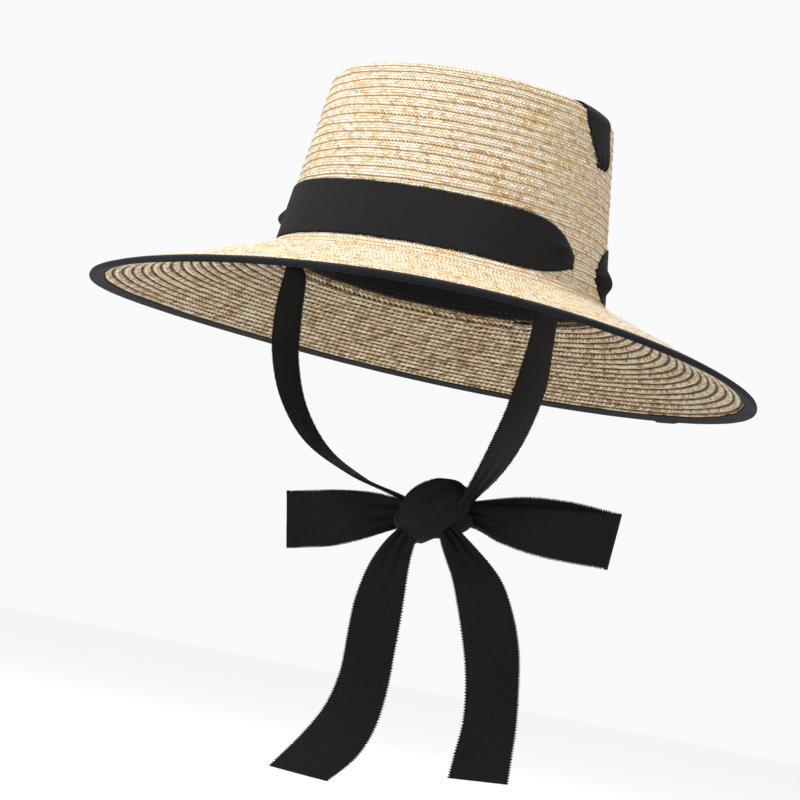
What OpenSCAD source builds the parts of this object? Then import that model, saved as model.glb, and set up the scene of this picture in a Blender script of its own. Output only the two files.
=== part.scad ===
// Wide-brimmed straw sun hat with a threaded ribbon band and chin ties in a bow.
// Lengths in millimetres. +Z runs up the crown, -Y is the brow, +X is the wearer's left.
// The origin is the middle of the head opening, where the crown meets the brim.
// Angles around the hat start at the brow and grow towards the wearer's left.

/* [Crown] */
// Half the crown's outer width at its base, ear to ear
crown_half_w = 87.5; // [82:0.5:95]
// Half the crown's outer length at its base, brow to nape
crown_half_l = 98; // [92:0.5:106]
// Height of the crown above the brim
crown_h = 101; // [96:1:115]
// How far each side leans in by the top, ear to ear
lean_w = 11; // [6:0.5:14]
// How far the brow and the nape lean in by the top
lean_l = 20.5; // [10:0.5:24]
// Radius of the rounded top edge
edge_r = 8; // [5:0.5:10]
// Thickness of the sewn straw braid
braid_t = 2.2; // [1.6:0.1:2.4]

/* [Brim] */
// Width of the brim at the ears, measured level
brim_w = 87.5; // [60:0.5:110]
// Width of the brim at the brow and the nape, measured level
brim_l = 101.5; // [60:0.5:120]
// How far the rim hangs below the head opening
brim_drop = 32; // [15:1:45]
// Height of the slow wave that lifts the brim on one diagonal
brim_wave = 3.1; // [0:0.1:6]
// Height of the smaller ripple along the rim
brim_ripple = 1.1; // [0:0.1:2]
// Depth of the ribbon binding on the top of the brim
bind_top = 5; // [3:0.5:8]
// Depth of the ribbon binding under the brim
bind_under = 7; // [5:0.5:12]
// Diameter of the steel wire inside the binding
wire_d = 1.2; // [0.8:0.1:1.6]

/* [Ribbons] */
// Width of the grosgrain ribbon
ribbon_w = 29.5; // [24:0.5:34]
// Thickness of the ribbon
ribbon_t = 0.8; // [0.5:0.1:1]
// Height of the hat band's lower edge above the brim
band_z = 4; // [3:0.5:6]
// Height of the slits that take the strap from outside to inside
strap_slit_z = 70; // [64:1:76]
// Angle of the slits where the front band goes in
front_slit = 79; // [77:0.5:80]
// Angle of the slits where the back band comes out
back_slit = 95.5; // [95:0.5:98]

/* [Bow] */
// Height of the knot's middle
knot_z = -128; // [-140:1:-115]
// How far the knot hangs towards the wearer's left
knot_x = 35; // [20:1:45]
// Distance of the hanging plane of the ties in front of the crown's middle
ties_y = -21; // [-24:1:-18]

/* [Hidden] */
straw = "#e6cf9c";
straw_side = "#dfc48c";
black = "#1d1d1f";
steel = "#9aa0a6";
step_deg = 5;                               // angle between sections around the hat
turn = [0:step_deg:360 - step_deg];
gap = 0.3;                                  // clearance of a ribbon from what it lies on
half_t = ribbon_t / 2;
edge_z = crown_h - edge_r;                  // where the side wall ends and the edge rolls over
outside = -gap - half_t;                    // inset of a ribbon lying on the wall
behind = braid_t + gap + half_t;            // inset of a ribbon lying behind the wall
double_behind = behind + ribbon_t + gap;    // inset of a ribbon lying behind another
band_mid = band_z + ribbon_w / 2;
pinch = 5;                                  // half height of a ribbon gathered in a slit
sweat_t = 0.6;
sweat_h = 30;
braid_end = 2.2;                            // the braid stops this far inside the binding fold
hinge_z = -5;                               // the ties leave the crown at this height
hinge_x = crown_half_w - 10.5;
tail_y = ties_y - 4.5;                      // the tails hang in front of the knot's middle
loop_y = ties_y + 5.5;                      // the loops lie behind it

// Smooth step from 0 to 1 as v goes from a to b
function ease(v, a, b) = let (t = max(0, min(1, (v - a) / (b - a)))) t * t * (3 - 2 * t);
function unit(v) = v / norm(v);
function oval(f, half_w, half_l, z) = [half_w * sin(f), -half_l * cos(f), z];

// Crown wall at angle f and height z, inset from the outer face
function wall_half_w(z, inset) = crown_half_w - lean_w * z / crown_h - inset;
function wall_half_l(z, inset) = crown_half_l - lean_l * z / crown_h - inset;
function wall(f, z, inset) = oval(f, wall_half_w(z, inset), wall_half_l(z, inset), z);
// The same wall at a given y, on the wearer's left
function wall_at(y, z, inset) =
    [wall_half_w(z, inset) * sqrt(1 - pow(y / wall_half_l(z, inset), 2)), y, z];
// Rounded top edge: roll 0 is the wall, 90 is the flat top; out moves off the surface
function edge(f, roll, out) =
    oval(f, wall_half_w(edge_z, edge_r) + (edge_r + out) * cos(roll),
        wall_half_l(edge_z, edge_r) + (edge_r + out) * cos(roll),
        edge_z + (edge_r + out) * sin(roll));

// Brim at angle f; t is 0 at the crown and 1 at the rim, up lifts off the top face
function rim_z(f) = -brim_drop + brim_wave * sin(2 * f) + brim_ripple * sin(3 * f);
function brim_at(f, t, up) =
    oval(f, crown_half_w + brim_w * t, crown_half_l + brim_l * t, rim_z(f) * max(t, 0) + up);
function inward(d) = 1 - d / brim_w;         // t at distance d inside the rim

// Closed solid through matching sections; ring joins the last section to the first
module skin(sections, ring = false) {
    n = len(sections[0]);
    m = len(sections);
    points = [for (s = sections) each s];
    sides = [for (i = [0:(ring ? m : m - 1) - 1], j = [0:n - 1])
        let (k = (i + 1) % m, l = (j + 1) % n, a = i * n + j, b = i * n + l, c = k * n + l,
            d = k * n + j) each [[a, b, c], [a, c, d]]];
    caps = ring ? [] : [[for (j = [n - 1:-1:0]) j], [for (j = [0:n - 1]) (m - 1) * n + j]];
    polyhedron(points, concat(sides, caps), convexity = 8);
}

// Flat ribbon along a path; across holds each station's half width as a vector
module ribbon(path, across) {
    last = len(path) - 1;
    skin([for (i = [0:last])
        let (along = path[min(i + 1, last)] - path[max(i - 1, 0)],
            off = half_t * unit(cross(across[i], along)), c = path[i], w = across[i])
        [c - w - off, c - w + off, c + w + off, c + w - off]]);
}

module crown_tip() {
    rolls = [90:-15:0];
    color(straw)
    skin(concat(
        [for (r = rolls) [for (f = turn) edge(f, r, 0)]],
        [for (r = [0:15:90]) [for (f = turn) edge(f, r, -braid_t)]]));
}

// One opening in the wall, centred at angle f and height z
module slit(f, z, wide, high) {
    translate(wall(f, z, braid_t / 2))
    rotate(f - 90)
    cube([4 * braid_t, wide, high], center = true);
}

module crown_side() {
    color(straw_side)
    difference() {
        skin([for (f = turn) [wall(f, 0, 0), wall(f, edge_z, 0), wall(f, edge_z, braid_t),
            wall(f, 0, braid_t)]], true);
        for (side = [-1, 1]) {
            slit(side * (front_slit + 1.6), band_mid, 8.5, 2 * pinch + 2);
            slit(side * (back_slit - 1.6), band_mid, 8.5, 2 * pinch + 2);
            slit(side * 94, strap_slit_z - 0.5, 15, 9);
        }
    }
}

module brim() {
    color(straw)
    skin([for (f = turn) [brim_at(f, -braid_t / brim_w, 0), brim_at(f, -braid_t / brim_w, -braid_t),
        brim_at(f, inward(braid_end), -braid_t), brim_at(f, inward(braid_end), 0)]], true);
}

// Round section on the wire's line, which runs just outside the braid's edge
function wire_section(f, r) =
    let (c = brim_at(f, inward(wire_d), -braid_t / 2))
    [for (a = [0:60:300]) c + r * [cos(a) * sin(f), -cos(a) * cos(f), sin(a)]];

module brim_wire() {
    color(steel)
    skin([for (f = [-177:step_deg / 2:178]) wire_section(f, wire_d / 2)]);
}

module wire_joiner() {
    color(steel)
    difference() {
        skin([for (f = [176:0.5:184]) wire_section(f, wire_d / 2 + 0.35)]);
        skin([for (f = [175.5:0.5:184.5]) wire_section(f, wire_d / 2 + 0.05)]);
    }
}

// Folded binding at angle f, made thicker by lift where the ribbon's ends overlap
function binding_section(f, lift) =
    let (under = -braid_t - 0.1, rim = inward(-0.6 - lift))
    [brim_at(f, inward(bind_top), 0.7 + lift), brim_at(f, inward(bind_top), 0.1),
        brim_at(f, inward(0), 0.1), brim_at(f, inward(0), under),
        brim_at(f, inward(bind_under), under), brim_at(f, inward(bind_under), under - 0.6 - lift),
        brim_at(f, rim, under - 0.6 - lift), brim_at(f, rim, 0.7 + lift)];

module brim_binding() {
    lap = [156, 160];
    at = concat([for (f = [0:step_deg:lap[0] - 0.2]) f], [lap[0] - 0.1, lap[0], lap[1] - 0.1, lap[1]],
        [for (f = [165:step_deg:355]) f]);
    color(black)
    skin([for (f = at) binding_section(f, f >= lap[0] && f < lap[1] ? 0.5 : 0)], true);
}

// Thread laid as a thin line round the hat; where gives its centre at each angle
module thread_ring(centres, r) {
    color(black)
    skin([for (i = [0:len(centres) - 1])
        let (c = centres[i], out = unit([c[0], c[1], 0]))
        [c + r * out, c + [0, 0, r], c - r * out, c - [0, 0, r]]], true);
}

module binding_thread() {
    thread_ring([for (f = turn) brim_at(f, inward(bind_top - 1), 0.95)], 0.2);
}

// The sweatband stands off the wall where the ribbons run behind it
function sweat_inset(f) =
    let (a = abs(f > 180 ? 360 - f : f))
    braid_t + gap + 3.1 * ease(a, 60, 69) * (1 - ease(a, 99, 108));

module sweatband() {
    color(black)
    skin([for (f = turn) let (i = sweat_inset(f))
        [wall(f, 1, i), wall(f, sweat_h, i), wall(f, sweat_h, i + sweat_t), wall(f, 1, i + sweat_t)]],
        true);
}

module sweatband_thread() {
    thread_ring([for (f = turn) wall(f, 3, sweat_inset(f) + sweat_t + 0.25)], 0.2);
}

// Half height of a band: full width, then a rounded end gathered into the slit
function gathered(a, full_at, slit_at) =
    let (s = min(1, max(0, (a - full_at) / (slit_at - full_at))))
    max(pinch, ribbon_w / 2 * sqrt(1 - s * s));

// One section of a band at angle f, with its inset and half height
function band_section(f, inset, half) =
    [wall(f, band_mid - half, inset + half_t), wall(f, band_mid - half, inset - half_t),
        wall(f, band_mid + half, inset - half_t), wall(f, band_mid + half, inset + half_t)];

// Band between two matching slits; mid is the angle of its middle
module band(mid, slit_at, full_at, inside_end) {
    shown = [for (a = [0:3:slit_at - 1]) [a, outside, gathered(a, full_at, slit_at)]];
    tucked = [[slit_at, outside, pinch], [slit_at + 3.5, double_behind, pinch],
        [inside_end, double_behind, pinch]];
    one_side = concat(shown, tucked);
    last = len(one_side) - 1;
    stations = concat([for (i = [last:-1:1]) [-one_side[i][0], one_side[i][1], one_side[i][2]]],
        one_side);
    color(black)
    skin([for (s = stations) band_section(mid + s[0], s[1], s[2])]);
}

module front_band() { band(0, front_slit, 52, 86.5); }

module back_band() { band(180, 180 - back_slit, 180 - back_slit - 17, 91.5); }

// Strap stations on the wearer's left below the top edge: z, inset, middle y, half width
strap_wall = [[-3, 4.6, -19, 8], [3, 3.8, -16, 8], [9, behind, -9, 7.5], [13, behind, -5, 7.5],
    [24, behind, -4, 7.5], [45, behind, 1, 7], [strap_slit_z - 5, behind, 5, 6],
    [strap_slit_z - 3, 2.2, 5, 6], [strap_slit_z + 2.5, outside, 5, 6],
    [strap_slit_z + 6, outside, 5, 6.5], [82, outside, 2.5, 9], [88, outside, 0, 12],
    [edge_z, outside, -1.5, 13.5]];
// Across the strap, from one edge to the other and back on the far face
strap_across = [-1, -0.5, 0, 0.5, 1];

function strap_face(s, off, w) = wall_at(s[2] + s[3] * w, s[0], s[1] - off);
function roll_face(roll, mid, half, off, w) =
    let (out = gap + half_t + off, y = mid + half * w,
        reach = wall_half_w(edge_z, edge_r) * sqrt(1 - pow(y / wall_half_l(edge_z, edge_r), 2)))
    [reach + (edge_r + out) * cos(roll), y, edge_z + (edge_r + out) * sin(roll)];
function top_face(x, mid, half, off, w) = [x, mid + half * w, crown_h + gap + half_t + off];
function there_and_back(near, far) = concat(near, [for (i = [len(far) - 1:-1:0]) far[i]]);

module crown_strap() {
    up = [for (s = strap_wall)
        there_and_back([for (w = strap_across) strap_face(s, -half_t, w)],
            [for (w = strap_across) strap_face(s, half_t, w)])];
    over = [for (roll = [20:20:80])
        there_and_back([for (w = strap_across) roll_face(roll, -2, 14, -half_t, w)],
            [for (w = strap_across) roll_face(roll, -2, 14, half_t, w)])];
    flat = [for (x = [60, 30])
        there_and_back([for (w = strap_across) top_face(x, -x / 40, ribbon_w / 2, -half_t, w)],
            [for (w = strap_across) top_face(x, -x / 40, ribbon_w / 2, half_t, w)])];
    left = concat(up, over, flat);
    last = len(left) - 1;
    right = [for (i = [last:-1:0]) [for (p = left[i]) [-p[0], p[1], p[2]]]];
    color(black)
    skin(concat(left, right));
}

// Chin tie: runs from the crown's edge along the cheek to the knot, widest at the ear
module tie(path, halves) {
    color(black)
    ribbon([for (p = path) [p[0], ties_y, p[1]]], [for (h = halves) [0, h, 0]]);
}

module tie_left() {
    tie([[hinge_x, hinge_z - 0.6], [hinge_x, -28], [hinge_x - 1, -48], [72.5, -67], [67, -84],
        [61, -99], [knot_x + 17, knot_z + 12]], [7, 13.5, 14.7, 14.7, 14.7, 12, 7]);
}

module tie_right() {
    tie([[-hinge_x, hinge_z - 0.6], [-hinge_x, -28], [-74, -52], [-64, -76], [-43, -97],
        [-15, -110], [knot_x - 18, knot_z + 12]], [7, 13.5, 14.7, 14.7, 14.7, 12, 7]);
}

module bow_knot() {
    color(black)
    hull()
    for (lobe = [[-17, 2, 9], [13, 6, 8], [-4, -8, 7]])
        translate([knot_x + lobe[0], ties_y, knot_z + lobe[1]])
        sphere(r = lobe[2], $fn = 28);
}

// One bow loop folded back on itself; stations give reach, drop and half height
module bow_loop(root, stations, spread) {
    last = len(stations) - 1;
    front = [for (s = stations) [root[0] + s[0], loop_y - spread * s[3], root[1] + s[1]]];
    back = [for (i = [last:-1:0]) let (s = stations[i])
        [root[0] + s[0], loop_y + spread * s[3], root[1] + s[1]]];
    tip = stations[last];
    fold = [root[0] + tip[0] + sign(tip[0]) * 1.5, loop_y, root[1] + tip[1]];
    halves = concat([for (s = stations) s[2]], [tip[2]], [for (i = [last:-1:0]) stations[i][2]]);
    color(black)
    ribbon(concat(front, [fold], back), [for (h = halves) [0, 0, h]]);
}

module bow_loop_left() {
    bow_loop([knot_x - 17, knot_z + 2], [[-10, -2, 7, 0.4], [-26, -5, 12, 1], [-46, -9, 14.5, 1],
        [-70, -13.5, 14.7, 0.6]], 2.4);
}

module bow_loop_right() {
    bow_loop([knot_x + 13, knot_z + 6], [[10, 2, 7, 0.4], [26, 3, 10, 1], [50, 1.5, 12.5, 1],
        [84, -1, 14.2, 0.6]], 2.4);
}

// Hanging end: stations give the middle x, the height and the half width
module tail(stations) {
    color(black)
    ribbon([for (s = stations) [s[0], tail_y, s[1]]], [for (s = stations) [s[2], 0, 0]]);
}

module bow_tail_left() {
    tail([[18, -144, 8], [15.5, -160, 12.5], [14, -179, 14.5], [13.5, -200, 14.7], [14, -220, 14.9],
        [11, -236, 16.5], [1, -253, 18], [-15, -271, 16.5]]);
}

module bow_tail_right() {
    tail([[54, -139, 9], [61, -149, 13.5], [69, -163, 16], [78, -183, 16], [86, -205, 15.4],
        [90.5, -225, 14.8], [89.5, -240, 14.8], [86, -254, 15]]);
}

crown_tip();
crown_side();
brim();
brim_wire();
wire_joiner();
brim_binding();
binding_thread();
sweatband();
sweatband_thread();
front_band();
back_band();
crown_strap();
tie_left();
tie_right();
bow_knot();
bow_loop_left();
bow_loop_right();
bow_tail_left();
bow_tail_right();
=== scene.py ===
"""Straw sun hat with a threaded ribbon band and chin ties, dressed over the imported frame.

Helper functions work in millimetres and the mesh builders turn them into metres.
Angles around the hat start at the brow (-Y) and grow towards the wearer's left (+X).
"""
import math

import bpy
import numpy as np
from mathutils import Matrix, Vector


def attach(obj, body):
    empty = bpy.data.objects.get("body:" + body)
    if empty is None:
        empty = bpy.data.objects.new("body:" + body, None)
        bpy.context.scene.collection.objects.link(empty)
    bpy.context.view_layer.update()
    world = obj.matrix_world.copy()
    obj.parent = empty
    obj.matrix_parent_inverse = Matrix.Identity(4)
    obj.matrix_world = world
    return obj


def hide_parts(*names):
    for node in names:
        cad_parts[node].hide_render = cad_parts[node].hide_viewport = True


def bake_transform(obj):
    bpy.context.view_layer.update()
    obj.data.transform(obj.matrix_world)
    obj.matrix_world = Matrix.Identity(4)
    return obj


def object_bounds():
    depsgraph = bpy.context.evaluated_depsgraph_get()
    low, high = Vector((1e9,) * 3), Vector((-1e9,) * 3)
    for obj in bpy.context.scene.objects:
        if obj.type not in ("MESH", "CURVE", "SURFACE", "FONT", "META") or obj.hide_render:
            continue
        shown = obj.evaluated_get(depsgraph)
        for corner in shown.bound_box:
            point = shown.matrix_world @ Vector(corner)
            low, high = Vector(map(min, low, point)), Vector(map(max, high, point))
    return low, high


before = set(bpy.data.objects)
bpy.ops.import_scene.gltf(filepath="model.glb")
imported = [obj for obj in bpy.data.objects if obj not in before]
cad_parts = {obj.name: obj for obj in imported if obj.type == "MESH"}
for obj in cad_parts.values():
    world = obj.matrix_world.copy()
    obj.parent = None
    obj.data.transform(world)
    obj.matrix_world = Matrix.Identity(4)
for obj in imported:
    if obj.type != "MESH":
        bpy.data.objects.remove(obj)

cad_box = [list(corner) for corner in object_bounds()]
MM = 0.001
PI = math.pi

# The hat's driving sizes, in millimetres, as in the CAD
CROWN_W, CROWN_L, CROWN_H = 87.5, 98.0, 101.0
LEAN_W, LEAN_L = 11.0, 20.5
EDGE_R, BRAID_T = 8.0, 2.2
EDGE_Z = CROWN_H - EDGE_R
BRIM_W, BRIM_L, BRIM_DROP = 87.5, 101.5, 32.0
WAVE, RIPPLE = 3.1, 1.1
BIND_TOP, BIND_UNDER = 5.0, 7.0
RIBBON_W, RIBBON_T = 29.5, 0.5
BAND_MID = 4 + RIBBON_W / 2
FRONT_SLIT, BACK_SLIT, STRAP_SLIT_Z = 79.0, 95.5, 70.0
KNOT = np.array([35.0, -21.0, -128.0])
HINGE = np.array([77.0, -21.0, -5.0])
TAIL_Y, LOOP_Y = KNOT[1] - 4.5, KNOT[1] + 5.5

# Rows of braid, counted out from the middle of the crown
TIP_ROWS, ROLL_ROWS, WALL_ROWS, BRIM_ROWS = 14, 3, 19, 19
TOP_STITCH, UNDER_STITCH = 2.1, 3.4    # length of one plait stitch along a row
TOP_SAMPLES = (0.0, 0.07, 0.2, 0.38, 0.56, 0.74, 0.9)      # places across a row
UNDER_SAMPLES = (0.0, 0.14, 0.36, 0.64, 0.86)
ROUND_STEPS = 400                  # steps around the hat in the braid meshes
FACE_SINK, INNER_RISE = 0.35, 0.3  # how far the braid's two faces start inside the CAD solid

# Cloth details, in millimetres
PICOT_PITCH, PICOT_DEPTH = 1.4, 0.45   # woven loops along the ribbon's edges
STATION_PITCH = 0.34                   # stations that carry those loops
BAND_OFF, STRAP_OFF = 0.75, 0.7        # ribbon's middle over the straw's outer face
SWEAT_H = 30                           # height of the sweatband


# ---------------------------------------------------------------- geometry of the hat

def ease(value, start, end):
    """Smooth step from 0 to 1 as value goes from start to end."""
    t = np.clip((value - start) / (end - start), 0, 1)
    return t * t * (3 - 2 * t)


def oval(angle, half_w, half_l, z):
    """Point on an ellipse around the hat's axis."""
    parts = np.broadcast_arrays(half_w * np.sin(angle), -half_l * np.cos(angle), z)
    return np.stack(parts, -1)


def wall(angle, z, inset=0.0):
    """Point on the crown's wall; inset is measured in from its outer face."""
    return oval(angle, CROWN_W - LEAN_W * z / CROWN_H - inset,
                CROWN_L - LEAN_L * z / CROWN_H - inset, z)


def wall_at(y, z, inset=0.0):
    """The same wall at a given y, on the wearer's left."""
    half_w = CROWN_W - LEAN_W * z / CROWN_H - inset
    half_l = CROWN_L - LEAN_L * z / CROWN_H - inset
    x = half_w * np.sqrt(1 - (y / half_l) ** 2)
    return np.stack(np.broadcast_arrays(x, y, z), -1)


def crown(angle, row, inset=0.0):
    """Crown surface by row: flat tip, rounded edge, then the wall down to the brim."""
    flat_w = CROWN_W - LEAN_W * EDGE_Z / CROWN_H - EDGE_R
    flat_l = CROWN_L - LEAN_L * EDGE_Z / CROWN_H - EDGE_R
    q = np.clip(row / TIP_ROWS, 0.002, 1)
    roll = PI / 2 * (1 - np.clip((row - TIP_ROWS) / ROLL_ROWS, 0, 1))
    out = (EDGE_R - inset) * np.cos(roll)
    z = EDGE_Z + (EDGE_R - inset) * np.sin(roll)
    above = oval(angle, flat_w * q + out, flat_l * q + out, z)
    down = EDGE_Z * (1 - (row - TIP_ROWS - ROLL_ROWS) / WALL_ROWS)
    below = wall(angle, np.minimum(down, EDGE_Z), inset)
    return np.where((row > TIP_ROWS + ROLL_ROWS)[..., None], below, above)


def rim_z(angle):
    """Height of the wavy rim around the hat."""
    return -BRIM_DROP + WAVE * np.sin(2 * angle) + RIPPLE * np.sin(3 * angle)


def brim(angle, t, up=0.0):
    """Brim surface; t is 0 at the crown and 1 at the rim."""
    return oval(angle, CROWN_W + BRIM_W * t, CROWN_L + BRIM_L * t,
                rim_z(angle) * np.maximum(t, 0) + up)


def unit(vectors):
    return vectors / np.maximum(np.linalg.norm(vectors, axis=-1, keepdims=True), 1e-9)


def grid_normals(points):
    """Unit normal at every point of a grid."""
    along = np.gradient(points, axis=0)
    across = np.gradient(points, axis=1)
    return unit(np.cross(along, across))


def spline(knots, count):
    """Smooth curve through the knots (rows of numbers), evenly spaced by distance."""
    knots = np.array(knots, float)
    ends = np.vstack([2 * knots[0] - knots[1], knots, 2 * knots[-1] - knots[-2]])
    dense = []
    for i in range(len(knots) - 1):
        a, b, c, d = ends[i:i + 4]
        t = np.linspace(0, 1, 40, endpoint=False)[:, None]
        dense.append(0.5 * (2 * b + (c - a) * t + (2 * a - 5 * b + 4 * c - d) * t ** 2
                            + (3 * b - a - 3 * c + d) * t ** 3))
    dense = np.vstack(dense + [knots[-1:]])
    run = np.concatenate([[0], np.cumsum(np.linalg.norm(np.diff(dense[:, :3], axis=0), axis=1))])
    at = np.linspace(0, run[-1], count)
    return np.stack([np.interp(at, run, column) for column in dense.T], -1)


# ---------------------------------------------------------------- mesh builders

def mesh_object(name, verts, faces, uvs, material):
    """Smooth-shaded object from millimetre vertices and one uv pair per face corner."""
    mesh = bpy.data.meshes.new(name)
    mesh.from_pydata((np.asarray(verts) * MM).tolist(), [], np.asarray(faces).tolist())
    if uvs is not None:
        layer = mesh.uv_layers.new(name="UVMap")
        layer.data.foreach_set("uv", np.asarray(uvs, np.float32).ravel())
    mesh.polygons.foreach_set("use_smooth", [True] * len(mesh.polygons))
    mesh.materials.append(material)
    mesh.update()
    piece = bpy.data.objects.new(name, mesh)
    bpy.context.scene.collection.objects.link(piece)
    return piece


def quads(rows, columns, flip=False):
    """Faces of a grid of points stored row by row."""
    i, j = np.meshgrid(np.arange(rows - 1), np.arange(columns - 1), indexing="ij")
    a = (i * columns + j).ravel()
    corners = [a, a + columns, a + columns + 1, a + 1]
    if flip:
        corners.reverse()
    return np.stack(corners, -1)


def top_lift(f, angle, row):
    """Height of a row's outer face: rounded, and standing over the next row out."""
    bow = 0.42 * np.sin(PI * np.clip(f, 0, 1)) ** 0.8
    tilt = 0.85 * (f - 0.45) * (f > 0)
    return bow + tilt + 0.08 * np.sin(23 * angle + 2.3 * row)


def under_lift(f, angle, row):
    """Height of a row's inner face: a rope-like roll."""
    bow = 1.05 * np.sin(PI * np.clip(f, 0, 1)) ** 0.8
    return bow + 0.07 * np.sin(19 * angle + 1.9 * row) - 0.3


def braid_grid(surface, first, last, outside):
    """Spiral strip of braid rows, as vertices, faces and uvs (stitches along, rows across)."""
    angle = np.linspace(-PI, PI, ROUND_STEPS + 1)[:, None]
    turn = (angle + PI) / (2 * PI)
    if outside:
        samples, stitch, lift = TOP_SAMPLES, TOP_STITCH, top_lift
    else:
        samples, stitch, lift = UNDER_SAMPLES, UNDER_STITCH, under_lift
    sampled = [k + f for k in range(first, last) for f in samples] + [last]
    counted = np.array(sampled)[None, :]
    row = counted - turn           # each row starts where the last one ended
    row = row + 0.05 * np.sin(3 * angle + 0.9 * row) + 0.03 * np.sin(11 * angle - 1.7 * row)
    base = surface(angle, row)
    normal = grid_normals(base) * (-1 if outside else 1)
    points = base + normal * lift(counted % 1, angle, counted)[..., None]
    faces = quads(*points.shape[:2], flip=not outside)
    sides = len(sampled) - 1
    row_of_face = np.tile(np.repeat(np.arange(first, last), len(samples)), ROUND_STEPS)
    coarse = angle[::20]
    middle = surface(coarse, 0 * coarse + np.arange(first, last) + 0.5)
    length = np.linalg.norm(np.diff(middle, axis=0), axis=-1).sum(0)
    stitches = np.maximum(np.round(length / stitch), 4)
    per_face = stitches[row_of_face - first]
    i = np.repeat(np.arange(ROUND_STEPS), sides)
    j = np.tile(np.arange(sides), ROUND_STEPS)
    corner_i = np.stack([i, i + 1, i + 1, i], -1)
    corner_j = np.stack([j, j, j + 1, j + 1], -1)
    if not outside:
        corner_i, corner_j = corner_i[:, ::-1], corner_j[:, ::-1]
    u = corner_i / ROUND_STEPS * per_face[:, None]
    v = counted[0][corner_j]
    row_end = (corner_j % len(samples) == 0) & (corner_j > j[:, None])
    v = np.where(row_end, row_of_face[:, None] + 0.999, v)     # stays in its own row
    return points.reshape(-1, 3), faces, np.stack([u, v], -1).reshape(-1, 2)


def joined(grids):
    """Several (vertices, faces, uvs) grids as one."""
    verts, faces, uvs, start = [], [], [], 0
    for points, quad, uv in grids:
        verts.append(points)
        faces.append(quad + start)
        uvs.append(uv)
        start += len(points)
    return np.vstack(verts), np.vstack(faces), np.vstack(uvs)


def ribbon(name, points, material, thickness=RIBBON_T, teeth=True):
    """Ribbon from a grid of its middle surface, stations along by points across.

    The long edges get the fine woven loops of grosgrain, and uvs are metres along and across.
    """
    points = points.copy()
    run = np.linalg.norm(np.diff(points[:, points.shape[1] // 2], axis=0), axis=1)
    along = np.concatenate([[0], np.cumsum(run)])
    if teeth:
        notch = PICOT_DEPTH * np.where(np.sin(2 * PI * along / PICOT_PITCH) > 0, 1, -1)[:, None]
        points[:, 0] += unit(points[:, 0] - points[:, 1]) * notch
        points[:, -1] += unit(points[:, -1] - points[:, -2]) * notch
    normal = grid_normals(points)
    count, wide = points.shape[:2]
    near = points + normal * thickness / 2
    far = (points - normal * thickness / 2)[:, ::-1]
    loop = np.concatenate([near, far, near[:, :1]], 1)
    verts = loop[:, :-1].reshape(-1, 3)
    ring = 2 * wide
    i, j = np.meshgrid(np.arange(count - 1), np.arange(ring), indexing="ij")
    i, j = i.ravel(), j.ravel()
    k = (j + 1) % ring
    faces = np.stack([i * ring + j, (i + 1) * ring + j, (i + 1) * ring + k, i * ring + k], -1)
    half = RIBBON_W / 2 * np.linspace(-1, 1, wide)
    across = np.concatenate([half, half[::-1]])
    u = np.stack([along[i], along[i + 1], along[i + 1], along[i]], -1)
    v = np.stack([across[j], across[j], across[k], across[k]], -1)
    caps = []
    for station, turned in ((0, False), (count - 1, True)):
        for m in range(wide - 1):
            quad = [station * ring + m, station * ring + m + 1,
                    station * ring + ring - 2 - m, station * ring + ring - 1 - m]
            caps.append(quad[::-1] if turned else quad)
    caps = np.array(caps)
    cap_uv = np.zeros((len(caps) * 4, 2))
    uvs = np.vstack([np.stack([u, v], -1).reshape(-1, 2) * MM, cap_uv])
    piece = mesh_object(name, verts, np.vstack([faces, caps]), uvs, material)
    piece["flat_length"] = float(along[-1])
    return piece


def steps_for(length):
    """How many stations a ribbon of this length needs to carry its edge loops."""
    return max(24, int(length / STATION_PITCH))


# ---------------------------------------------------------------- materials

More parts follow.
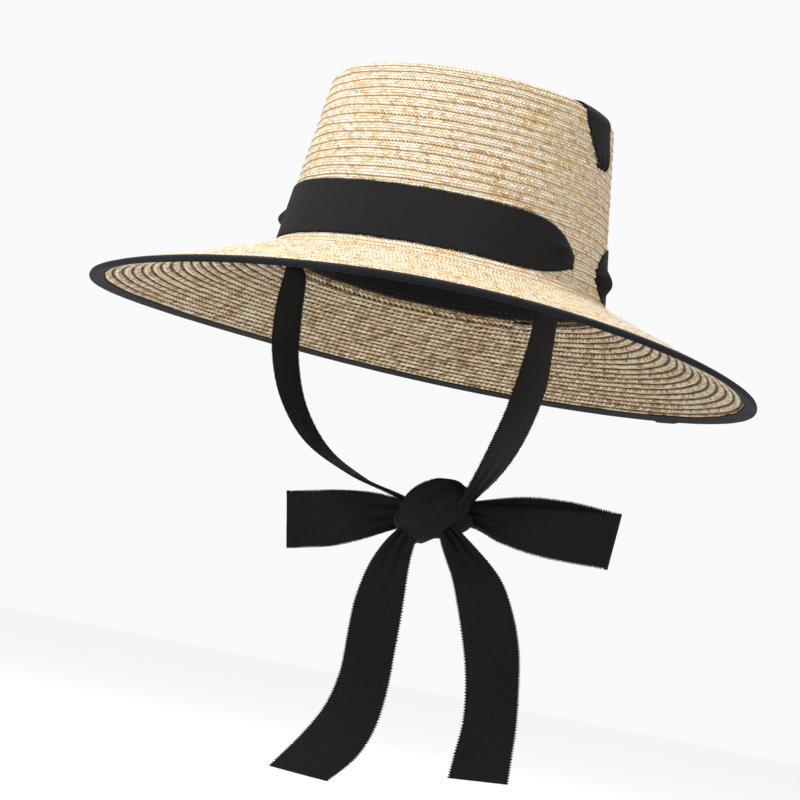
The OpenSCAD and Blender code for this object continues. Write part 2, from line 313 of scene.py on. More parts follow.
class Nodes:
    """Small helper that builds a material's node tree."""

    def __init__(self, name):
        self.material = bpy.data.materials.new(name)
        self.material.use_nodes = True
        self.tree = self.material.node_tree
        self.shader = self.tree.nodes["Principled BSDF"]

    def add(self, kind, **values):
        node = self.tree.nodes.new(kind)
        for key, value in values.items():
            setattr(node, key, value)
        return node

    def join(self, source, target):
        self.tree.links.new(source, target)

    def math(self, operation, a, b=None, c=None):
        node = self.add("ShaderNodeMath", operation=operation)
        for socket, value in zip(node.inputs, (a, b, c)):
            if value is None:
                continue
            if isinstance(value, (int, float)):
                socket.default_value = value
            else:
                self.join(value, socket)
        return node.outputs[0]

    def split_uv(self):
        uv = self.add("ShaderNodeUVMap", uv_map="UVMap")
        parts = self.add("ShaderNodeSeparateXYZ")
        self.join(uv.outputs[0], parts.inputs[0])
        return parts.outputs[0], parts.outputs[1]

    def vector(self, x, y, z=0.0):
        node = self.add("ShaderNodeCombineXYZ")
        for socket, value in zip(node.inputs, (x, y, z)):
            if isinstance(value, (int, float)):
                socket.default_value = value
            else:
                self.join(value, socket)
        return node.outputs[0]

    def random(self, vector):
        node = self.add("ShaderNodeTexWhiteNoise", noise_dimensions="3D")
        self.join(vector, node.inputs["Vector"])
        return node.outputs["Value"]

    def noise(self, vector, scale, detail=3.0, rough=0.5):
        node = self.add("ShaderNodeTexNoise")
        node.inputs["Scale"].default_value = scale
        node.inputs["Detail"].default_value = detail
        node.inputs["Roughness"].default_value = rough
        self.join(vector, node.inputs["Vector"])
        return node.outputs[0]

    def position(self):
        return self.add("ShaderNodeTexCoord").outputs["Object"]

    def ramp(self, value, stops):
        node = self.add("ShaderNodeValToRGB")
        elements = node.color_ramp.elements
        while len(elements) < len(stops):
            elements.new(0.5)
        for element, (place, colour) in zip(elements, stops):
            element.position = place
            element.color = (*colour, 1)
        self.join(value, node.inputs[0])
        return node.outputs[0]

    def mix(self, factor, a, b):
        node = self.add("ShaderNodeMix", data_type="RGBA", blend_type="MIX")
        for socket, value in ((node.inputs[0], factor), (node.inputs[6], a), (node.inputs[7], b)):
            if isinstance(value, (int, float)):
                socket.default_value = value
            elif isinstance(value, tuple):
                socket.default_value = (*value, 1)
            else:
                self.join(value, socket)
        return node.outputs[2]

    def bump(self, height, distance, strength=1.0, after=None):
        node = self.add("ShaderNodeBump")
        node.inputs["Distance"].default_value = distance
        node.inputs["Strength"].default_value = strength
        self.join(height, node.inputs["Height"])
        if after is not None:
            self.join(after, node.inputs["Normal"])
        return node.outputs[0]

    def set(self, **values):
        for key, value in values.items():
            socket = self.shader.inputs[key.replace("_", " ")]
            if hasattr(value, "links"):
                self.join(value, socket)
            else:
                socket.default_value = value
        return self.material


def straw(name, tones, gap, columns, groove, wander, specks, lighter):
    """Plaited straw: slanting columns of stitches in each row, and a gap between rows.

    tones run from the darkest stitch to the lightest, and the darkest also paints shade into the
    valleys between stitches; gap is the colour between rows (the line's own colour on the outer face,
    painted shade in the underside's grooves), and groove is where it begins and is full, from the row's
    middle out; wander bends the row's edges; specks is the share of dark stitches; lighter shifts every
    stitch's tone.
    """
    n = Nodes(name)
    u, v = n.split_uv()
    row = n.math("FLOOR", v)
    wavy = n.noise(n.vector(n.math("MULTIPLY", u, 0.31), n.math("MULTIPLY", row, 5.0)), 1.0, 2.0)
    zigzag = n.math("SINE", n.math("MULTIPLY", u, 2 * PI))
    f = n.math("ADD", n.math("FRACT", v), n.math("MULTIPLY", zigzag, wander))
    across = n.math("MULTIPLY", f, float(columns))
    column = n.math("FLOOR", across)
    part_v = n.math("FRACT", across)
    way = n.math("SUBTRACT", n.math("MULTIPLY", n.math("MODULO", column, 2.0), 1.6), 1.0)
    slant = n.math("MULTIPLY", n.math("SUBTRACT", part_v, 0.5), way)
    shift = n.random(n.vector(row, column, 3.7))
    s = n.math("ADD", n.math("ADD", u, slant), n.math("MULTIPLY", shift, 5.0))
    part, stitch = n.math("FRACT", s), n.math("FLOOR", s)
    hump = n.math("SUBTRACT", 1.0, n.math("POWER", n.math("ABSOLUTE", n.math(
        "SUBTRACT", n.math("MULTIPLY", part, 2.0), 1.0)), 2.4))
    pillow = n.math("SUBTRACT", 1.0, n.math("POWER", n.math("ABSOLUTE", n.math(
        "SUBTRACT", n.math("MULTIPLY", part_v, 2.0), 1.0)), 3.0))
    fibre = n.noise(n.vector(n.math("MULTIPLY", s, 2.0), n.math("MULTIPLY", v, 9.0), row), 2.0, 2.0)
    height = n.math("MULTIPLY", hump, pillow)
    own = n.random(n.vector(stitch, row, column))
    tone = n.math("ADD", n.math("MULTIPLY", own, 0.6), n.math("MULTIPLY", fibre, 0.4))
    tone = n.math("ADD", tone, n.math("MULTIPLY", n.noise(n.position(), 34.0, 3.0), 0.2))
    tone = n.math("ADD", tone, lighter)
    colour = n.ramp(tone, tuple(zip((0.1, 0.34, 0.6, 0.88), tones)))
    speck = n.random(n.vector(stitch, column, row))
    dark = n.math("GREATER_THAN", speck, 1 - specks)
    # Painted shade: the valleys between stitches darken towards the darkest tone.
    valley = n.ramp(height, ((0.0, (1, 1, 1)), (0.42, (0, 0, 0))))
    shade = n.math("MULTIPLY", valley, n.math("ADD", n.math("MULTIPLY", fibre, 0.7), 0.4))
    colour = n.mix(shade, colour, tones[0])
    colour = n.mix(n.math("MULTIPLY", dark, 0.6), colour, tones[0])
    # Row lines: on the outer face the gap colour is the line's own golden brown, and on the underside it
    # is painted shade in the grooves between rope rows.
    edge = n.math("ABSOLUTE", n.math("SUBTRACT", f, 0.5))
    line = n.ramp(edge, ((groove[0], (0, 0, 0)), (groove[1], (1, 1, 1))))
    strength = n.math("ADD", 0.45, n.math("MULTIPLY", wavy, 0.9))
    line = n.math("MINIMUM", n.math("MULTIPLY", line, strength), 1.0)
    colour = n.mix(line, colour, gap)
    sides = n.math("SUBTRACT", 1.0, n.math("POWER", n.math("MULTIPLY", edge, 2.0), 5.0))
    relief = n.math("MULTIPLY", n.math("ADD", height, n.math("MULTIPLY", fibre, 0.3)), sides)
    normal = n.bump(relief, 0.0013, 1.0)
    rough = n.math("ADD", 0.36, n.math("MULTIPLY", fibre, 0.25))
    shine = n.math("MULTIPLY", n.math("MULTIPLY", relief, n.math("SUBTRACT", 1.0, line)), 0.75)
    return n.set(Base_Color=colour, Roughness=rough, Normal=normal, Specular_IOR_Level=shine)


def grosgrain(name, colour, lit_rib_colour, rib=1.0, shine=0.135):
    """Black corded ribbon: fine ribs across its width, rib mm apart, with a dull sheen."""
    n = Nodes(name)
    u, v = n.split_uv()
    wobble = n.math("MULTIPLY", n.noise(n.position(), 60.0, 2.0), 0.00025)
    wave = n.math("SINE", n.math("MULTIPLY", n.math("ADD", u, wobble), 2 * PI / (rib * MM)))
    weft = n.math("SINE", n.math("MULTIPLY", v, 2 * PI / (0.42 * MM)))
    height = n.math("ADD", wave, n.math("MULTIPLY", weft, 0.18))
    lint = n.noise(n.position(), 900.0, 2.0, 0.7)
    # Painted highlight and shade: the rib crests are coloured lighter than the grooves between them.
    level = n.math("MULTIPLY", n.math("ADD", wave, 1.0), 0.5)
    base = n.mix(level, colour, lit_rib_colour)
    fluff = n.math("MULTIPLY", n.math("GREATER_THAN", lint, 0.69), 0.25)
    base = n.mix(fluff, base, (0.035, 0.035, 0.037))
    normal = n.bump(height, 0.00016, 0.8)
    normal = n.bump(n.noise(n.position(), 170.0, 3.0), 0.0004, 0.25, normal)
    return n.set(Base_Color=base, Roughness=0.66, Normal=normal, Specular_IOR_Level=shine,
                 Sheen_Weight=0.02, Sheen_Roughness=0.4)


def thread(name, colour):
    """Twisted sewing thread."""
    n = Nodes(name)
    twist = n.noise(n.position(), 1500.0, 1.0)
    base = n.ramp(twist, ((0.3, tuple(c * 0.5 for c in colour)), (0.7, colour)))
    return n.set(Base_Color=base, Roughness=0.6, Normal=n.bump(twist, 0.0001, 0.6))


def drawn_steel(name):
    """Grey wire with fine drawing marks."""
    n = Nodes(name)
    lines = n.noise(n.position(), 700.0, 3.0)
    base = n.ramp(lines, ((0.3, (0.42, 0.43, 0.45)), (0.7, (0.66, 0.67, 0.69))))
    return n.set(Base_Color=base, Metallic=1.0, Roughness=0.36, Normal=n.bump(lines, 0.00005, 0.4))


STRAW_TOP = straw("straw_bleached",
                  ((0.46, 0.21, 0.055), (0.80, 0.55, 0.27), (0.96, 0.83, 0.58), (1.0, 0.97, 0.86)),
                  (0.47, 0.225, 0.055), columns=3, groove=(0.43, 0.488), wander=0.03,
                  specks=0.04, lighter=0.05)
# Underside: the rope plait is its own, while its darkest tone, extra dark specks and near-black gap are
# painted shade along and between the rope rows.
STRAW_UNDER = straw("straw_underside",
                    ((0.17, 0.068, 0.016), (0.64, 0.40, 0.17), (0.98, 0.75, 0.43), (1.0, 0.93, 0.70)),
                    (0.045, 0.020, 0.005), columns=2, groove=(0.18, 0.40), wander=0.06,
                    specks=0.12, lighter=0.0)
RIBBON = grosgrain("black_grosgrain", (0.003, 0.003, 0.0033), (0.0105, 0.0105, 0.0115))
BINDING = grosgrain("edge_binding_grosgrain", (0.005, 0.006, 0.008), (0.012, 0.014, 0.018), 0.9, 0.09)
SWEAT = grosgrain("sweatband_grosgrain", (0.005, 0.005, 0.006), (0.014, 0.014, 0.015), 1.1)
THREAD = thread("black_thread", (0.02, 0.02, 0.022))
STEEL = drawn_steel("wire_steel")


# ---------------------------------------------------------------- straw braid

def brim_top(angle, row):
    """Brim's outer face: a fillet at the crown, and a step down under the binding."""
    t = np.clip(row / BRIM_ROWS, -0.03, 0.995)
    fillet = 3.2 * np.exp(-np.maximum(t, 0) * BRIM_W / 4.5)
    return brim(angle, t, fillet - 0.2 - 0.8 * ease(t, 0.935, 0.955))


def brim_under(angle, row):
    """Brim's inner face, which also steps in under the binding."""
    t = np.clip(row / BRIM_ROWS, -BRAID_T / BRIM_W, 0.995)
    return brim(angle, t, -BRAID_T + INNER_RISE + 0.9 * ease(t, 0.915, 0.935))


def crown_outer(angle, row):
    """Crown's outer face."""
    return crown(angle, row, FACE_SINK)


def crown_inner(angle, row):
    """Crown's inner face."""
    return crown(angle, row, BRAID_T - INNER_RISE)


def make_braid():
    """Crown tip, crown side and brim, each with its outer and inner braided face."""
    roll_end = TIP_ROWS + ROLL_ROWS
    wall_end = roll_end + WALL_ROWS
    for name, node, top, under, first, last in (
            ("crown_tip_braid", "crown_tip", crown_outer, crown_inner, 0, roll_end),
            ("crown_side_braid", "crown_side", crown_outer, crown_inner, roll_end, wall_end + 1),
            ("brim_braid", "brim", brim_top, brim_under, 0, BRIM_ROWS + 1)):
        grid = joined([braid_grid(top, first, last, True), braid_grid(under, first, last, False)])
        piece = mesh_object(name, *grid, STRAW_TOP)
        piece.data.materials.append(STRAW_UNDER)
        count = len(piece.data.polygons)
        slots = np.zeros(count, np.int32)
        slots[count * len(TOP_SAMPLES) // (len(TOP_SAMPLES) + len(UNDER_SAMPLES)):] = 1
        piece.data.polygons.foreach_set("material_index", slots)
        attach(piece, "hat")
        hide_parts(node)


# ---------------------------------------------------------------- ribbons on the hat

def pleats(across, depth, folds, phase):
    """Small folds where a ribbon is gathered, as heights across its width."""
    return depth * np.cos(PI * folds * across + phase)


def band(name, middle, slit_at, full_at, puffs, sag, node):
    """Hat band between two slits, gathered and puffed where it dives through the straw.

    Its angles are in degrees from its middle. puffs give, for its two ends, the puff's height
    and where it sits across the ribbon; sag is how early the ends droop.
    """
    inside_end = slit_at + 6.5
    narrowest, droop, dive = 4.0, 3.5, 5.2
    puff_from, puff_size, puff_width = 6.5, 4.6, 0.62
    a = np.concatenate([np.linspace(0, slit_at, 420), np.linspace(slit_at, inside_end, 30)[1:]])
    a = np.concatenate([-a[:0:-1], a])[:, None]
    size = np.abs(a)
    w = np.linspace(-1, 1, 27)[None, :]
    s = np.clip((size - full_at) / (slit_at - full_at), 0, 1)
    half = np.maximum(narrowest, RIBBON_W / 2 * np.maximum(1 - s ** 2.2, 0) ** 0.62)
    drop = droop * s ** sag
    off = BAND_OFF - dive * ease(size, slit_at - 1.2, slit_at + 3.0)
    puff, seat = (np.where(a < 0, puffs[0][k], puffs[1][k]) for k in (0, 1))
    bulge = puff * np.exp(-((size - slit_at + puff_from) / puff_size) ** 2
                          - ((w - seat) / puff_width) ** 2)
    bulge = bulge * (1 - ease(size, slit_at - 2.5, slit_at)) * (1 - w ** 4)
    fold = pleats(w, 0.55, 3.0, 0.6 + 0.06 * size) * s ** 3
    fold = fold * (1 - ease(size, slit_at - 1, slit_at + 2))
    ripple = 0.12 * np.sin(0.35 * a + 2.0 * w) + 0.1 * np.sin(0.13 * a - 1.1 * w)
    z = BAND_MID - drop + half * w
    points = wall(np.radians(middle + a), z, -(off + bulge + fold + ripple))
    piece = ribbon(name, points, RIBBON)
    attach(piece, "hat")
    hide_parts(node)


STRAP_KNOTS = (      # z, inset from the wall, middle y, half width
    (STRAP_SLIT_Z - 2.5, 3.2, 4.2, 4.5), (STRAP_SLIT_Z - 0.5, 1.6, 4.2, 4.8),
    (STRAP_SLIT_Z + 1.5, -0.7, 4.2, 6.0), (74.5, -1.5, 4.0, 8.0), (79, -1.4, 2.6, 10.2),
    (85, -1.0, 0.2, 12.2), (90, -0.75, -1.6, 13.2), (EDGE_Z, -0.7, -2.6, 14.2))


def make_crown_strap():
    """Ribbon laid over the crown, its ends pinched into slits below the top edge."""
    w = np.linspace(-1, 1, 25)[None, :]
    side = spline(STRAP_KNOTS, 110)
    edge_y, edge_half = STRAP_KNOTS[-1][2:]
    z, inset, middle, half = (side[:, k:k + 1] for k in range(4))
    pinched = 1 - ease(half, 5.5, 11.5)
    fold = pleats(w, 0.7, 2.5, 0.4) * pinched * ease(z, STRAP_SLIT_Z - 1, STRAP_SLIT_Z + 3)
    up = wall_at(middle + half * w, z, inset - fold)
    roll = np.linspace(0, PI / 2, 30)[1:, None]
    y = edge_y + (edge_half + 0.5 * roll / PI) * w
    flat_w = CROWN_W - LEAN_W * EDGE_Z / CROWN_H - EDGE_R
    flat_l = CROWN_L - LEAN_L * EDGE_Z / CROWN_H
    out = EDGE_R + STRAP_OFF + 0.35 * np.sin(2 * roll)
    reach = (flat_w + EDGE_R) * np.sqrt(1 - (y / flat_l) ** 2) - EDGE_R
    over = np.stack(np.broadcast_arrays(
        reach + out * np.cos(roll), y, EDGE_Z + out * np.sin(roll)), -1)
    x = np.linspace(flat_w, 0, 150)[1:, None]
    y = edge_y * x / flat_w + (14.45 + 0.3 * (1 - x / flat_w)) * w
    sway = 0.35 * np.sin(x / 14) * w + 0.25 * np.cos(x / 23)
    flat = np.stack(np.broadcast_arrays(
        x - 1.3 * w ** 2 * x / flat_w, y, CROWN_H + 0.75 + sway), -1)
    left = np.concatenate([up, over, flat])
    right = left[-2::-1] * np.array([-1, 1, 1])
    piece = ribbon("crown_strap_ribbon", np.concatenate([left, right])[:, ::-1], RIBBON)
    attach(piece, "hat")
    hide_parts("crown_strap")


# ---------------------------------------------------------------- rim and lining

def rim_frame(angle, inside, up):
    """Point at a distance inside the rim and a height over the brim's top face."""
    return brim(angle, 1 - inside / BRIM_W, up)


def make_binding():
    """Ribbon folded over the rim, its two ends lapped near the back."""
    lap_start, lap_end = math.radians(155.2), math.radians(160.0)
    gap, fold_at = 0.3, 0.9            # off the straw, and where the fold begins inside the rim
    angle = np.linspace(lap_start, lap_end + 2 * PI, 1400)[:, None]
    turned = angle - lap_start
    top = np.stack([np.linspace(BIND_TOP, fold_at, 7), np.full(7, gap)], -1)
    arc = np.linspace(PI / 2, -PI / 2, 9)[1:-1]
    middle_z, bend = -BRAID_T / 2, BRAID_T / 2 + gap
    fold = np.stack([fold_at - bend * 0.6 * np.cos(arc), middle_z + bend * np.sin(arc)], -1)
    under = np.stack([np.linspace(fold_at, BIND_UNDER, 10), np.full(10, -BRAID_T - gap)], -1)
    profile = np.vstack([top, fold, under])
    inside, up = profile[:, 0][None, :], profile[:, 1][None, :]
    wavy = 0.22 * np.sin(31 * angle) + 0.16 * np.sin(47 * angle + 1)
    inside = inside + wavy * np.clip(inside / BIND_TOP, 0, 1)
    lapped = 0.5 * ease(turned, 2 * PI - 0.03, 2 * PI + 0.005)
    up = up + lapped * np.sign(up - middle_z)
    inside = inside + lapped * np.sign(inside - fold_at)
    points = rim_frame(angle, inside, up)
    piece = ribbon("rim_binding_ribbon", points[:, ::-1], BINDING, thickness=0.45)
    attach(piece, "hat")
    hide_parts("brim_binding")


def sweat_inset(angle):
    """The sweatband stands off the wall where the ribbons run behind it."""
    size = np.degrees(np.abs((angle + PI) % (2 * PI) - PI))     # away from the brow
    return BRAID_T + 0.5 + 2.9 * ease(size, 60, 69) * (1 - ease(size, 99, 108))


def make_sweatband():
    """Inner band that rests on the forehead, with a soft rolled top edge."""
    angle = np.linspace(-PI, PI, 900)[:, None]
    height = np.linspace(0.4, SWEAT_H, 22)[None, :]
    roll = 0.8 * ease(height, 26, SWEAT_H) + 0.25 * np.sin(17 * angle) * ease(height, 12, SWEAT_H)
    points = wall(angle, height, sweat_inset(angle) + 0.3 + roll)
    piece = ribbon("sweatband_ribbon", points, SWEAT, thickness=0.6, teeth=False)
    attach(piece, "hat")
    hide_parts("sweatband")


def stitches(name, centres, tangents, normals, length, node):
    """Row of short thread stitches, each a small bead with round ends lying on the cloth."""
    corners, half_wide, half_high = 6, 0.24, 0.2
    rings = ((-0.5, 0.25), (-0.3, 0.9), (0.3, 0.9), (0.5, 0.25))      # place along, size
    shape = np.array([(along * length, half_wide * size * math.cos(k * PI / 3),
                       half_high * size * math.sin(k * PI / 3))
                      for along, size in rings for k in range(corners)])
    sides = np.cross(normals, tangents)
    verts = (centres[:, None] + shape[None, :, :1] * tangents[:, None]
             + shape[None, :, 1:2] * sides[:, None] + shape[None, :, 2:] * normals[:, None])
    faces = []
    for base in range(0, len(shape) - corners, corners):
        for k in range(corners):
            m = (k + 1) % corners
            faces.append((base + k, base + m, base + corners + m, base + corners + k))
    faces = np.array(faces)[None] + (np.arange(len(centres)) * len(shape))[:, None, None]
    piece = mesh_object(name, verts.reshape(-1, 3), faces.reshape(-1, 4), None, THREAD)
    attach(piece, "hat")
    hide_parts(node)


def ring_frames(point_at, out_at, pitch):
    """Evenly pitched points round the hat with their tangents and outward normals."""
    angle = np.linspace(-PI, PI, 4001)
    line = point_at(angle)
    run = np.concatenate([[0], np.cumsum(np.linalg.norm(np.diff(line, axis=0), axis=1))])
    at = np.interp(np.arange(0, run[-1] - pitch / 2, pitch), run, angle)
    small = 0.002
    tangent = unit(point_at(at + small) - point_at(at - small))
    return point_at(at), tangent, unit(out_at(at))


def make_stitching():
    """One row that holds the binding's top edge, and one low on the sweatband."""
    top = ring_frames(lambda a: rim_frame(a, BIND_TOP - 1.1, 0.58),
                      lambda a: np.stack([0 * a, 0 * a, 1 + 0 * a], -1), pitch=3.0)
    stitches("binding_stitches", *top, 2.1, "binding_thread")
    low = ring_frames(lambda a: wall(a, 3.0 + 0 * a, sweat_inset(a) + 0.75),
                      lambda a: -oval(a, 1.0, 1.0, 0 * a), pitch=4.0)
    stitches("sweatband_stitches", *low, 2.6, "sweatband_thread")


# ---------------------------------------------------------------- ties and bow

def sheet_along(knots, count, wide=25):
    """Flat grid along given stations of centre (3) and half-width vector (3)."""
    line = spline(knots, count)
    w = np.linspace(-1, 1, wide)[None, :, None]
    return line[:, None, :3] + line[:, None, 3:6] * w


def folded(points, depth, folds, phase, strength):
    """Adds gathers across a ribbon; strength runs from 0 to 1 along its stations."""
    w = np.linspace(-1, 1, points.shape[1])[None, :]
    height = pleats(w, depth, folds, phase) * np.asarray(strength)[:, None]
    return points + grid_normals(points) * height[..., None]


TIE_INSIDE = (       # height, inset from the wall, middle y, half width
    (STRAP_SLIT_Z - 2, 3.0, 4.4, 5.0), (60, 3.1, 3.4, 6.2), (45, 3.1, 1.0, 7.2),
    (28, 3.1, -3.0, 7.6), (14, 3.1, -6.5, 8.0), (4, 3.6, -14.0, 9.0))


def make_tie(side):
    """Chin tie: from the slit down inside the crown, out under the brim and to the knot.

    side is 1 for the wearer's left and -1 for the right. Stations are centre and half-width vector.
    """
    name = "left" if side > 0 else "right"
    y = HINGE[1]
    inside = []
    for z, inset, middle, half in TIE_INSIDE:
        x = float(wall_at(middle, z, inset)[0])
        inside.append((side * x, middle, z, 0, half, 0))
    hinge_x = side * HINGE[0]
    if side > 0:
        hanging = ((hinge_x, y, -8, 0, 13.0, 0), (hinge_x, y, -28, 0, 14.6, 0),
                   (76, y, -48, 1.5, 14.7, 0), (72.5, y, -67, 1.5, 14.6, 0), (67, y, -84, 1.2, 14.2, 0),
                   (60, y, -100, 0.8, 11.5, 0), (52, y, -114, 0, 7.5, 0), (45, y, -124, 0, 6, 0))
    else:
        hanging = ((hinge_x, y, -8, 0, 11.5, 0), (hinge_x, y, -28, 0, 14.2, 0),
                   (-74, y, -52, 0, 14.7, 0), (-63, y, -77, 0, 14.6, 0), (-43, y, -98, 0, 14, 0),
                   (-15, y, -111, 0, 11.5, 0), (12, y, -118, 0, 8, 0), (24, y, -124, 0, 6, 0))
    knots = inside + [(hinge_x + side * 3.5, y + 3, -2, 0, 9.8, 0)] + list(hanging)
    rough_length = 240 if side > 0 else 290
    points = sheet_along(knots, steps_for(rough_length))
    place = np.linspace(0, 1, len(points))
    gathered = np.maximum(1 - ease(place, 0.0, 0.3), ease(place, 0.78, 1.0))
    points = folded(points, 0.9, 3.0, 0.5, gathered)
    cup = 1.1 * np.sin(PI * np.clip((place - 0.3) / 0.55, 0, 1))[:, None]
    w = np.linspace(-1, 1, points.shape[1])[None, :]
    points[..., 0] -= side * cup * (w ** 2 - 0.3)
    piece = ribbon(f"tie_{name}_ribbon", points[:, ::-1] if side > 0 else points, RIBBON)
    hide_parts(f"tie_{name}")
    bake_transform(piece)


def knot_core():
    """Crossed ribbon inside the knot, seen only at its ends."""
    angle = np.linspace(0, 2 * PI, 120)[:, None]
    along = np.linspace(-1, 1, 60)[None, :]
    reach, deep, high = 22.5, 8.2, 9.3
    swell = np.sqrt(np.maximum(1 - np.abs(along) ** 2.6, 0))
    crease = 0.4 * np.sin(3 * angle + 2.0 * along) * swell
    y = KNOT[1] + (deep * swell + crease) * np.cos(angle)
    z = KNOT[2] + 0.5 + 2.0 * along + ((high - along) * swell + crease) * np.sin(angle)
    x = KNOT[0] - 1 + reach * along + 0 * angle
    core = np.stack(np.broadcast_arrays(x, y, z), -1)
    rows, columns = core.shape[0] - 1, core.shape[1] - 1
    i, j = (m.ravel() for m in np.meshgrid(np.arange(rows), np.arange(columns), indexing="ij"))
    u = np.stack([i, i + 1, i + 1, i], -1) * (2 * PI * 9.5 / rows)
    v = np.stack([j, j, j + 1, j + 1], -1) * (2 * reach / columns)
    uvs = np.stack([u, v], -1).reshape(-1, 2) * MM
    piece = mesh_object("bow_knot_core", core.reshape(-1, 3), quads(*core.shape[:2]), uvs, RIBBON)
    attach(piece, "ties")
    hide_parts("bow_knot")


def make_knot():
    """The wrap: a broad soft turn of ribbon, slanting down from its left to its right."""
    knot_core()
    slant = math.radians(38)
    down = np.array([-math.cos(slant), 0, -math.sin(slant)])
    across = np.array([math.sin(slant), 0, -math.cos(slant)])
    turn = np.linspace(-PI * 0.97, PI * 1.06, 300)[:, None]
    w = np.linspace(-1, 1, 25)[None, :]
    front = np.cos(turn / 2) ** 2          # 1 in front of the knot, 0 behind it
    half = 9.0 + 5.4 * front ** 1.8
    fold = pleats(w, 0.55, 2.6, 0.7 + 0.8 * np.sin(turn)) * (0.25 + 0.75 * np.abs(np.sin(turn)))
    fold = fold + 0.5 * np.sin(2.2 * turn + 2.6 * w) * front
    reach = (22.0 - 7.5 * w ** 2 + fold + 0.35 * turn) * np.sin(turn)
    depth = (9.6 + 1.6 * front + 0.25 * turn - 2.6 * w ** 2 * front + fold) * np.cos(turn)
    middle = KNOT + np.array([-0.5, 0, 5.0])
    points = (middle + reach[..., None] * down + (half * w)[..., None] * across
              - depth[..., None] * np.array([0, 1, 0]))
    wrap = ribbon("bow_knot_ribbon", points, RIBBON)
    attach(wrap, "ties")


LOOPS = {   # offset of the root from the knot, lean of the fold, then front and back layers, root
            # to fold: reach, drop, half height, distance in front of the loop's middle
    "left": ((-17, 2), -0.24, (
        (6, 0, 5.5, 2.0), (-8, -1.2, 8.3, 2.4), (-24, -4.4, 12.4, 3.2), (-44, -8.6, 14.6, 3.2),
        (-70.5, -13.0, 14.8, 1.9)), (
        (-70.5, -12.6, 14.8, -1.9), (-44, -7.4, 14.0, -3.4), (-24, -3.2, 11.2, -3.2),
        (-8, -1.0, 7.0, -2.2), (6, 0, 5.0, -1.6))),
    "right": ((13, 6), 0.06, (
        (-6, -1.0, 4.5, 2.0), (9, 0.0, 6.2, 2.4), (26, -2.2, 9.2, 3.4), (50, -2.8, 12.2, 3.6),
        (83, -1.6, 14.0, 1.8)), (
        (83, -0.8, 14.0, -1.8), (56, 2.6, 12.8, -3.6), (30, 3.4, 10.8, -3.4),
        (9, 2.2, 7.2, -2.4), (-6, 0.5, 4.5, -1.6)))}


def make_loop(name):
    """Bow loop: one ribbon folded back on itself, gathered where the knot holds it."""
    (root_x, root_z), lean, front, back = LOOPS[name]
    way = -1 if name == "left" else 1      # the side of the knot it lies on in X
    root = np.array([KNOT[0] + root_x, LOOP_Y, KNOT[2] + root_z])
    tip = front[-1]
    crease = (tip[0] + way * 1.7, tip[1] + 0.2, tip[2], 0)
    layers = front + (crease,) + back
    stations = []
    for reach, drop, half, ahead in layers:
        tilt = lean * half * abs(reach / tip[0])
        stations.append((root[0] + reach, root[1] - ahead, root[2] + drop, tilt, 0, half))
    points = sheet_along(stations, steps_for(2.1 * abs(tip[0]) + 20), 23)
    place = np.abs(np.linspace(-1, 1, len(points)))
    points = folded(points, 1.15, 3.2, 0.9, ease(place, 0.5, 0.95))
    w = np.linspace(-1, 1, points.shape[1])[None, :]
    sway = 0.7 * np.sin(3.0 * place[:, None] * PI + 1.2 * w) * (1 - ease(place, 0.8, 1.0))[:, None]
    points[..., 1] += sway
    piece = ribbon(f"bow_loop_{name}_ribbon", points if way > 0 else points[:, ::-1], RIBBON)
    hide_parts(f"bow_loop_{name}")
    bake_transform(piece)


TAILS = {   # middle x, distance in front of the hanging plane, height, half width, and how far
            # the width leans down and turns back, in degrees
    "left": ((27, 1.5, -131, 6.0, 0, 0), (21, 2.5, -141, 8.5, 4, 0), (16.5, 1.5, -154, 11.6, 6, 0),
             (14.2, 0, -172, 14.0, 2, 0), (13.4, -1.0, -195, 14.7, -4, 4),
             (13.6, 0, -216, 14.8, -7, 8), (10.6, 1.5, -235, 15.4, -9, 10),
             (1.8, 1.8, -252, 16.4, -8, 8), (-14.5, -1.0, -269.5, 16.2, -3, 6)),
    "right": ((44, 1.5, -129, 6.0, 0, 0), (54.5, 2.5, -138, 10.5, -6, 8), (65, 2.0, -149, 15.0, -10, 20),
              (73, 0.5, -163, 15.8, -12, 26), (80.5, -1.0, -184, 15.6, -9, 24),
              (86.5, 0, -206, 14.8, -4, 14), (89.8, 1.6, -225, 14.7, 2, 8),
              (89.3, 1.2, -240, 14.7, 5, 12), (88.2, -0.5, -254, 14.7, 5, 20))}


def make_tail(name):
    """Hanging end of the bow: narrow at the knot, then flat, with a straight cut end."""
    stations = []
    for x, ahead, z, half, lean, turn in TAILS[name]:
        tilt, back = math.radians(lean), math.radians(turn)
        stations.append((x, TAIL_Y - ahead, z, half * math.cos(tilt) * math.cos(back),
                         half * math.sin(back), half * math.sin(tilt)))
    length = sum(math.dist(a[:3], b[:3]) for a, b in zip(stations, stations[1:]))
    points = sheet_along(stations, steps_for(length))
    place = np.linspace(0, 1, len(points))
    points = folded(points, 1.3, 3.0, 0.4, 1 - ease(place, 0.02, 0.34))
    w = np.linspace(-1, 1, points.shape[1])[None, :]
    way = 1 if name == "left" else -1
    curl = 1.6 * np.sin(2.4 * PI * place[:, None] + 0.5 * way) * w * ease(place, 0.2, 0.5)[:, None]
    points[..., 1] += curl + 0.8 * w ** 2 * ease(place, 0.3, 0.6)[:, None]
    piece = ribbon(f"bow_tail_{name}_ribbon", points[:, ::-1], RIBBON)
    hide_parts(f"bow_tail_{name}")
    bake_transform(piece)


def dress_cad_nodes():
    """The CAD parts that stay: the wire and its joiner."""
    for node in ("brim_wire", "wire_joiner"):
        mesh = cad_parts[node].data
        mesh.materials.clear()
        mesh.materials.append(STEEL)


# ---------------------------------------------------------------- studio

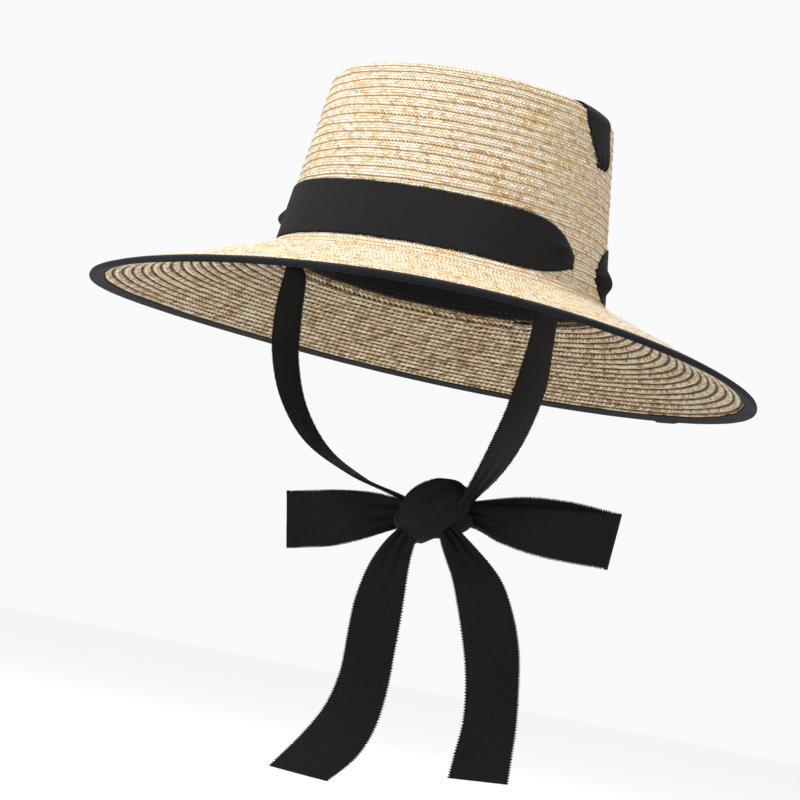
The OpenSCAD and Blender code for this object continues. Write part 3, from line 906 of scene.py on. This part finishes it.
def make_floor():
    """Pale floor that brightens into the white room away from the hat."""
    size, below = 24, 0.05
    n = Nodes("pale_floor")
    grain = n.noise(n.position(), 3.0, 2.0)
    base = n.ramp(grain, ((0.3, (0.78, 0.78, 0.79)), (0.7, (0.82, 0.82, 0.82))))
    apart = n.add("ShaderNodeVectorMath", operation="LENGTH")
    n.join(n.position(), apart.inputs[0])
    glow = n.add("ShaderNodeMapRange", interpolation_type="SMOOTHSTEP")
    for name, value in (("From Min", 0.4), ("From Max", 2.0), ("To Min", 0.12), ("To Max", 0.52)):
        glow.inputs[name].default_value = value
    n.join(apart.outputs["Value"], glow.inputs["Value"])
    n.shader.inputs["Emission Color"].default_value = (1, 1, 1, 1)
    n.set(Base_Color=base, Roughness=0.85, Emission_Strength=glow.outputs[0])
    bpy.ops.mesh.primitive_plane_add(size=size, location=(0, 0, cad_box[0][2] - below))
    floor = bpy.context.object
    floor.name = "floor"
    floor.data.materials.append(n.material)


def soft_light(name, azimuth, elevation, distance, size, power, colour=(1, 1, 1)):
    """Square lamp aimed at the hat; angles in degrees, from the brow and from the level."""
    a, e = math.radians(azimuth), math.radians(elevation)
    back = Vector((math.sin(a) * math.cos(e), -math.cos(a) * math.cos(e), math.sin(e)))
    data = bpy.data.lights.new(name, "AREA")
    data.size, data.energy, data.color = size, power, colour
    lamp = bpy.data.objects.new(name, data)
    lamp.location = Vector((0, 0, -0.03)) + back * distance
    lamp.rotation_euler = back.to_track_quat("Z", "Y").to_euler()
    bpy.context.scene.collection.objects.link(lamp)


def make_world():
    """Pale room, brightest behind the hat as the camera sees it, so the straw keeps its shading."""
    backdrop_way, dim, bright = (-0.46, 0.87, 0.16), 0.44, 0.96
    world = bpy.data.worlds.new("studio")
    world.use_nodes = True
    tree = world.node_tree
    shade = tree.nodes["Background"]
    where = tree.nodes.new("ShaderNodeTexCoord")
    facing = tree.nodes.new("ShaderNodeVectorMath")
    facing.operation = "DOT_PRODUCT"
    facing.inputs[1].default_value = backdrop_way
    lobe = tree.nodes.new("ShaderNodeMapRange")
    lobe.interpolation_type = "SMOOTHSTEP"
    for name, value in (("From Min", 0.84), ("From Max", 0.955), ("To Min", dim), ("To Max", bright)):
        lobe.inputs[name].default_value = value
    tree.links.new(where.outputs["Generated"], facing.inputs[0])
    tree.links.new(facing.outputs["Value"], lobe.inputs["Value"])
    tree.links.new(lobe.outputs[0], shade.inputs["Strength"])
    shade.inputs["Color"].default_value = (0.99, 0.99, 1.0, 1)
    bpy.context.scene.world = world
    bpy.context.scene.view_settings.view_transform = "Standard"


def make_lights():
    """Key from the upper left of the picture, a warm low fill from its right, and a soft back."""
    make_world()
    soft_light("key", -26, 50, 1.3, 0.6, 25)
    soft_light("fill", 76, 24, 1.4, 0.6, 8, (1, 0.93, 0.82))
    soft_light("back", 205, 45, 1.5, 1.0, 6)


def make_camera():
    """Low viewpoint from the wearer's left front, tipped clockwise."""
    azimuth, elevation, tip = math.radians(28.1), math.radians(-8.46), math.radians(11.0)
    distance, aim_right, aim_up, lens = 1.388, -0.009, -0.0655, 116.1
    back = Vector((math.sin(azimuth) * math.cos(elevation), -math.cos(azimuth) * math.cos(elevation),
                   math.sin(elevation)))
    right = Vector((math.cos(azimuth), math.sin(azimuth), 0))
    place = back * distance
    aim = right * aim_right + back.cross(right) * aim_up
    back = (place - aim).normalized()
    right = Vector((0, 0, 1)).cross(back).normalized()
    up = back.cross(right)
    side = right * math.cos(tip) + up * math.sin(tip)
    top = up * math.cos(tip) - right * math.sin(tip)
    data = bpy.data.cameras.new("camera")
    data.lens, data.sensor_width = lens, 36
    data.clip_start, data.clip_end = 0.05, 50
    camera = bpy.data.objects.new("camera", data)
    camera.matrix_world = Matrix.Translation(place) @ Matrix((side, top, back)).transposed().to_4x4()
    bpy.context.scene.collection.objects.link(camera)
    bpy.context.scene.camera = camera


make_camera()
make_lights()
make_floor()
make_braid()
band("front_band_ribbon", 0, FRONT_SLIT, 52, ((7.0, 0.35), (3.4, 0.2)), 5, "front_band")
band("back_band_ribbon", 180, 180 - BACK_SLIT, 180 - BACK_SLIT - 17, ((5.6, -0.3), (5.0, 0.2)), 1.2,
     "back_band")
make_crown_strap()
make_binding()
make_sweatband()
make_stitching()
make_knot()
for side in (1, -1):
    make_tie(side)
for name in ("left", "right"):
    make_loop(name)
    make_tail(name)
dress_cad_nodes()
